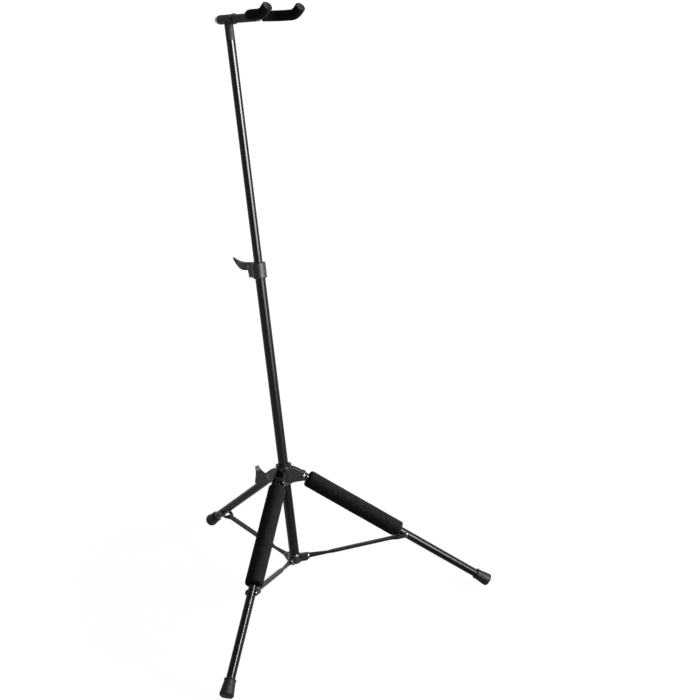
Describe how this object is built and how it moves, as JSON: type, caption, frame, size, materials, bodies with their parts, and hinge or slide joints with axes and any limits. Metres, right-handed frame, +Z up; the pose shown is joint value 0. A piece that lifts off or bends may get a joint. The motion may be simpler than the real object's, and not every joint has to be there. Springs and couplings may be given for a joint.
{
  "type": "guitar stand",
  "caption": "Folding guitar stand: a leaning telescopic mast on splayed legs with foam rests, carrying a swivelling padded yoke that holds the guitar by its neck.",
  "frame": {"origin": "on the floor, under the centre of the stand's bounding box", "axes": "+Z up, -Y the front where the yoke points, +X to the stand's right seen from behind the yoke"},
  "size_m": [0.6714, 0.5513, 1.131],
  "materials": {
    "tube_black": "gloss powder coat",
    "strut_black": "satin powder coat",
    "hub_black": "gloss enamel",
    "cast_grey": "satin cast finish",
    "clamp_grey": "moulded satin",
    "lever_black": "moulded satin",
    "liner_black": "moulded satin",
    "rivet_black": "black plated, domed",
    "bright_steel": "plated",
    "hidden_steel": "zinc plated",
    "foam_black": "closed cell foam, matt",
    "foot_rubber": "moulded matt"
  },
  "bodies": {
    "mast": {"lower_mast_tube": "tube_black", "mast_bottom_plug": "liner_black", "strut_collar": "hub_black", "strut_collar_rivets": "rivet_black", "collar_cross_pin": "hidden_steel", "clamp_collar": "clamp_grey", "clamp_shoe": "liner_black", "clamp_lever_pin": "hidden_steel"},
    "clamp_lever": {"clamp_lever": "clamp_grey"},
    "upper_mast": {"upper_mast_tube": "tube_black", "upper_tube_guide": "liner_black", "head_tee": "cast_grey", "head_cross_pin": "hidden_steel"},
    "yoke": {"swivel_bolt": "hidden_steel", "swivel_washer": "liner_black", "swivel_nut": "bright_steel", "nut_washer": "bright_steel", "yoke_arm": "cast_grey", "yoke_fork": "tube_black", "yoke_foam_left": "foam_black", "yoke_foam_right": "foam_black"},
    "hub": {"hub_body": "hub_black", "hub_bush": "liner_black", "hub_shoe": "liner_black", "leg_hinge_rivets": "rivet_black"},
    "hub_lever": {"hub_lever": "lever_black"},
    "leg_front_left": {"leg_front_left": "tube_black", "foot_front_left": "foot_rubber", "strut_pin_front_left": "rivet_black", "leg_foam_front_left": "foam_black"},
    "strut_front_left": {"strut_front_left": "strut_black"},
    "leg_front_right": {"leg_front_right": "tube_black", "foot_front_right": "foot_rubber", "strut_pin_front_right": "rivet_black", "leg_foam_front_right": "foam_black"},
    "strut_front_right": {"strut_front_right": "strut_black"},
    "leg_rear": {"leg_rear": "tube_black", "foot_rear": "foot_rubber", "strut_pin_rear": "rivet_black"},
    "strut_rear": {"strut_rear": "strut_black"}
  },
  "joints": [
    {"name": "hub_slide", "type": "slide", "parent": "mast", "child": "hub", "axis": [0, 0.2489, 0.9685], "range_m": [0, 0.2704]},
    {"name": "height_slide", "type": "slide", "parent": "mast", "child": "upper_mast", "axis": [0, 0.2489, 0.9685], "range_m": [-0.38, 0.05]},
    {"name": "yoke_swivel", "type": "hinge", "parent": "upper_mast", "child": "yoke", "pos_m": [0, 0.2299, 1.08314], "axis": [0, -0.9892, 0.1463], "continuous": true},
    {"name": "clamp_lever_flip", "type": "hinge", "parent": "mast", "child": "clamp_lever", "pos_m": [0, 0.13517, 0.6281], "axis": [1, 0, 0], "range_deg": [0, 70]},
    {"name": "hub_lever_flip", "type": "hinge", "parent": "hub", "child": "hub_lever", "pos_m": [0, 0.04331, 0.21238], "axis": [1, 0, 0], "range_deg": [0, 45]},
    {"name": "leg_front_left_fold", "type": "hinge", "parent": "hub", "child": "leg_front_left", "pos_m": [-0.03019, -0.01055, 0.22622], "axis": [0.5446, -0.8123, 0.2087], "range_deg": [0, 41.01]},
    {"name": "strut_front_left_fold", "type": "hinge", "parent": "leg_front_left", "child": "strut_front_left", "pos_m": [-0.19278, -0.1505, 0.10583], "axis": [0.5446, -0.8123, 0.2087], "range_deg": [-110.34, 0]},
    {"name": "leg_front_right_fold", "type": "hinge", "parent": "hub", "child": "leg_front_right", "pos_m": [0.03019, -0.01055, 0.22622], "axis": [0.5446, 0.8123, -0.2087], "range_deg": [0, 41.01]},
    {"name": "strut_front_right_fold", "type": "hinge", "parent": "leg_front_right", "child": "strut_front_right", "pos_m": [0.19278, -0.1505, 0.10583], "axis": [0.5446, 0.8123, -0.2087], "range_deg": [-110.34, 0]},
    {"name": "leg_rear_fold", "type": "hinge", "parent": "hub", "child": "leg_rear", "pos_m": [0, 0.04331, 0.21238], "axis": [-1, 0, 0], "range_deg": [0, 43.57]},
    {"name": "strut_rear_fold", "type": "hinge", "parent": "leg_rear", "child": "strut_rear", "pos_m": [0, 0.21953, 0.05092], "axis": [-1, 0, 0], "range_deg": [-97.61, 0]}
  ],
  "couplings": [
    {"joint": "leg_front_left_fold", "follows": "hub_slide", "rad_per_m": 2.647},
    {"joint": "strut_front_left_fold", "follows": "hub_slide", "rad_per_m": -7.122},
    {"joint": "leg_front_right_fold", "follows": "hub_slide", "rad_per_m": 2.647},
    {"joint": "strut_front_right_fold", "follows": "hub_slide", "rad_per_m": -7.122},
    {"joint": "leg_rear_fold", "follows": "hub_slide", "rad_per_m": 2.8124},
    {"joint": "strut_rear_fold", "follows": "hub_slide", "rad_per_m": -6.2999}
  ]
}
